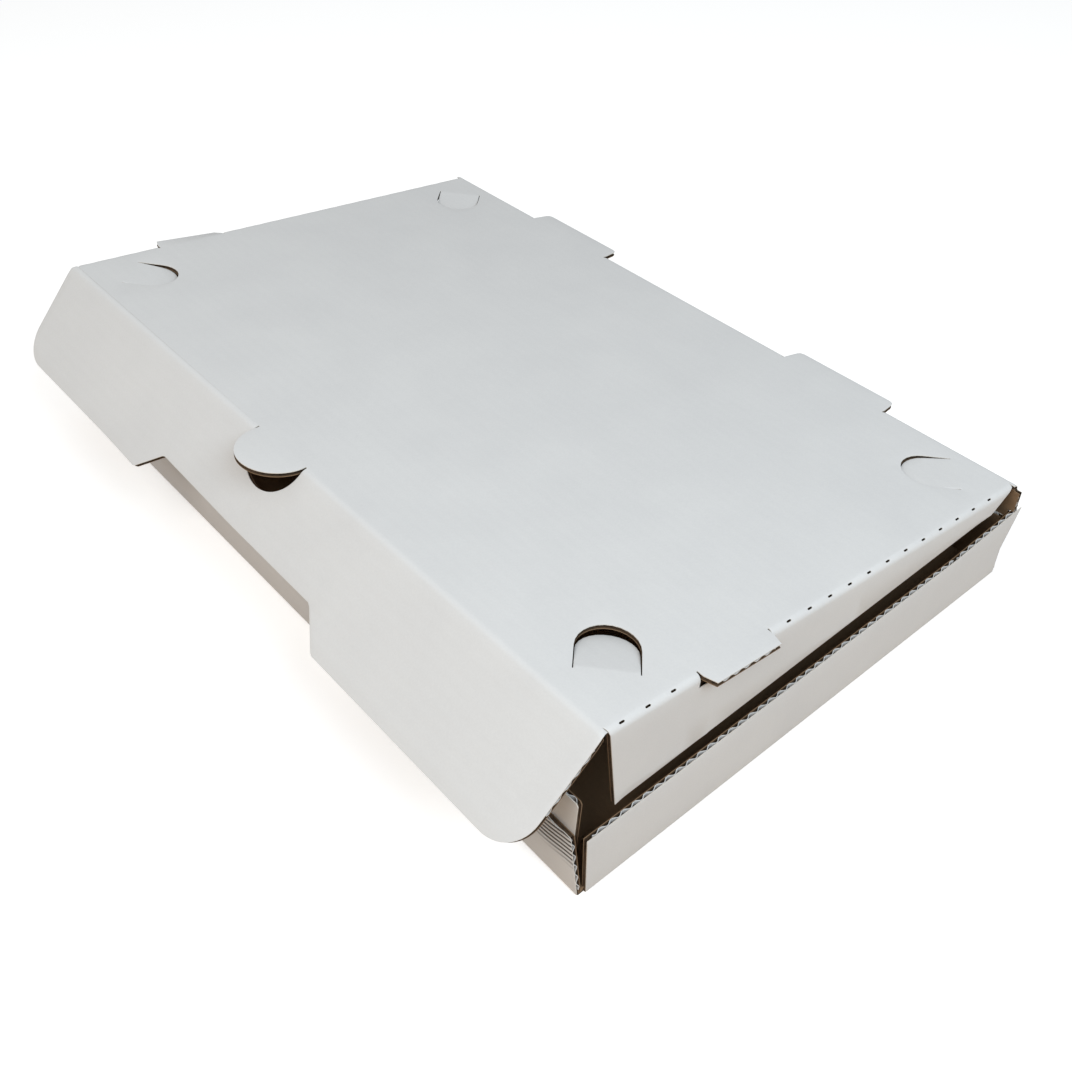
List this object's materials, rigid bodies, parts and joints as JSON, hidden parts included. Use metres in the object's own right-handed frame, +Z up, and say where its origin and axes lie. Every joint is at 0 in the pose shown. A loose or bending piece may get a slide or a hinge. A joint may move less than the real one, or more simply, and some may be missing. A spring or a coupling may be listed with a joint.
{
  "type": "flatbread takeaway box",
  "caption": "Low white corrugated takeaway box with a hinged lid standing ajar, a flared front flap with a thumb tongue, tucked side flaps and corner vents.",
  "frame": {"origin": "middle of the tray's underside", "axes": "+X along the hinge, +Y from the front flap towards the hinge, +Z up"},
  "size_m": [0.4724, 0.3434, 0.0965],
  "materials": {
    "tray_board": "matt white liner, brown cut edges",
    "lid_board": "matt white liner, brown cut edges",
    "flap_board": "matt white liner, brown cut edges"
  },
  "bodies": {
    "tray": {"tray": "tray_board"},
    "lid": {"lid": "lid_board"},
    "front_flap": {"front_flap": "flap_board"}
  },
  "joints": [
    {"name": "lid_hinge", "type": "hinge", "parent": "tray", "child": "lid", "pos_m": [0, 0.151, 0.0575], "axis": [-1, 0, 0], "range_deg": [-3.8, 172.8]},
    {"name": "front_flap_fold", "type": "hinge", "parent": "lid", "child": "front_flap", "pos_m": [0, -0.13671, 0.09385], "axis": [-1, 0, 0], "range_deg": [0, 51]}
  ]
}
